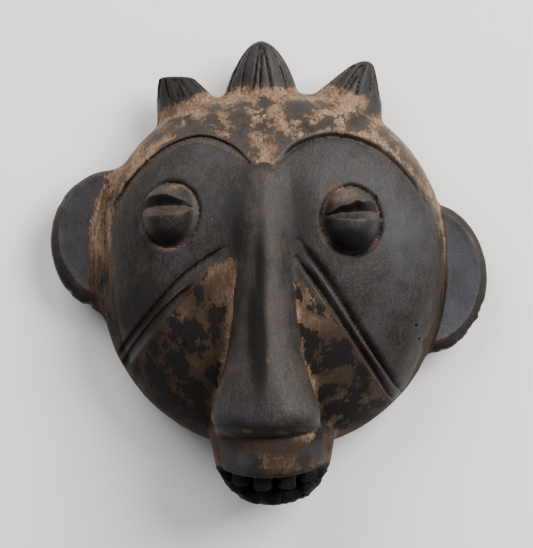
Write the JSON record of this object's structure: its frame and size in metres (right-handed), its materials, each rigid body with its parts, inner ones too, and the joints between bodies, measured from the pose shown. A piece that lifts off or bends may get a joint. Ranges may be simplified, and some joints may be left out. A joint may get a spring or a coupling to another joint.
{
  "type": "miniature mask",
  "caption": "Small carved wooden mask with a hollow back, round ears, fluted tufts, bulging slit eyes, a long nose and an open toothed mouth.",
  "frame": {"origin": "middle of the mask's bounding box, on the flat of its back rim", "axes": "+Z out of the face, +Y to the crown, +X to the viewer's right; the mask lies on its back rim"},
  "size_m": [0.114, 0.1201, 0.046],
  "materials": {
    "wood": "black patina worn through to light brown wood, satin on the panels, nose, ears and tufts"
  },
  "bodies": {
    "root": {"mask": "wood"}
  },
  "joints": []
}
